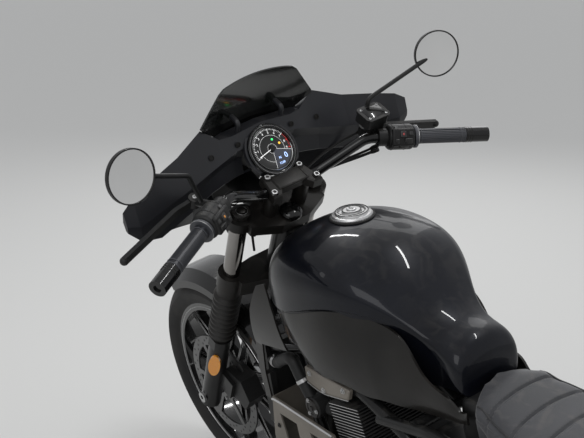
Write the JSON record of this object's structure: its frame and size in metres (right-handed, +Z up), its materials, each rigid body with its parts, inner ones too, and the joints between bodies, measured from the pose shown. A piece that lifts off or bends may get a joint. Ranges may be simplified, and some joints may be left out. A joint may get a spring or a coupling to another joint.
{
  "type": "cruiser motorcycle",
  "caption": "Low cruiser motorcycle with a bar-mounted fairing, teardrop tank, gaitered fork and twin-pipe engine, leaning on its side stand.",
  "frame": {"origin": "bottom centre of the machine's bounding box, on the floor under its middle", "axes": "+X is the direction of travel, +Y is the rider's left, towards which it leans, +Z is up"},
  "size_m": [2.1723, 0.9252, 1.281],
  "materials": {
    "frame_black": "satin",
    "clamp_black": "satin",
    "bright_steel": "brushed",
    "satin_black": "satin",
    "engine_black": "satin paint",
    "taupe_cover": "satin",
    "hose_rubber": "matt",
    "radiator_black": "satin",
    "exhaust_black": "satin",
    "tank_black": "gloss metallic",
    "panel_black": "semi-gloss",
    "cap_silver": "brushed",
    "seat_leather": "matt",
    "gloss_black": "gloss",
    "red_lens": "gloss",
    "amber_lens": "gloss",
    "slider_black": "satin",
    "fork_chrome": "polished",
    "gaiter_rubber": "matt",
    "bar_black": "gloss",
    "grip_rubber": "matt",
    "cap_gloss": "gloss",
    "lever_black": "satin",
    "mirror_glass": "polished",
    "gauge_black": "gloss",
    "fairing_black": "satin",
    "smoked_screen": "smoked gloss",
    "clear_lens": "clear",
    "tyre_rubber": "matt",
    "wheel_black": "gloss paint",
    "disc_steel": "brushed"
  },
  "bodies": {
    "chassis": {"frame": "frame_black", "swingarm": "frame_black", "swingarm_pin": "bright_steel", "rear_axle": "bright_steel", "rear_shocks": "satin_black", "crankcase": "engine_black", "cylinders": "engine_black", "cylinder_head": "engine_black", "head_covers": "taupe_cover", "coolant_hose": "hose_rubber", "radiator": "radiator_black", "radiator_shrouds": "satin_black", "belly_pan": "taupe_cover", "exhaust_pipes": "exhaust_black", "muffler": "exhaust_black", "fuel_tank": "tank_black", "tank_panels": "panel_black", "fuel_cap": "cap_silver", "rider_seat": "seat_leather", "pillion_seat": "seat_leather", "side_covers": "satin_black", "rear_fender": "gloss_black", "tail_lamp": "red_lens", "rear_indicators": "amber_lens", "plate_holder": "satin_black", "foot_controls": "satin_black", "drive_belt": "hose_rubber", "rear_caliper": "satin_black"},
    "steering": {"front_axle": "bright_steel", "fork_lowers": "slider_black", "fork_tubes": "fork_chrome", "fork_gaiters": "gaiter_rubber", "fork_reflectors": "amber_lens", "triple_clamps": "clamp_black", "front_fender": "gloss_black", "front_caliper": "satin_black", "handlebar": "bar_black", "bar_clamp": "clamp_black", "grips": "grip_rubber", "bar_caps": "cap_gloss", "switch_housings": "satin_black", "hand_levers": "lever_black", "mirror_housings": "satin_black", "mirror_glasses": "mirror_glass", "gauge": "gauge_black", "fairing": "fairing_black", "windscreen": "smoked_screen", "headlamp": "satin_black", "headlamp_lens": "clear_lens"},
    "front_wheel": {"front_tyre": "tyre_rubber", "front_rim": "wheel_black", "front_disc": "disc_steel"},
    "rear_wheel": {"rear_tyre": "tyre_rubber", "rear_rim": "wheel_black", "rear_disc": "disc_steel", "rear_pulley": "wheel_black"},
    "side_stand": {"side_stand": "frame_black"}
  },
  "joints": [
    {"name": "steering_turn", "type": "hinge", "parent": "chassis", "child": "steering", "pos_m": [0.4486, -0.04435, 0.77142], "axis": [-0.4924, 0.1511, 0.8571], "range_deg": [-39, 31]},
    {"name": "front_wheel_spin", "type": "hinge", "parent": "steering", "child": "front_wheel", "pos_m": [0.76668, -0.12144, 0.31458], "axis": [-0.0607, 0.9764, -0.2071], "continuous": true},
    {"name": "rear_wheel_spin", "type": "hinge", "parent": "chassis", "child": "rear_wheel", "pos_m": [-0.72322, -0.12452, 0.31673], "axis": [0, 0.9848, -0.1736], "continuous": true},
    {"name": "side_stand_fold", "type": "hinge", "parent": "chassis", "child": "side_stand", "pos_m": [-0.14822, -0.0175, 0.18655], "axis": [0.1895, 0.787, 0.5871], "range_deg": [0, 103.4]}
  ]
}
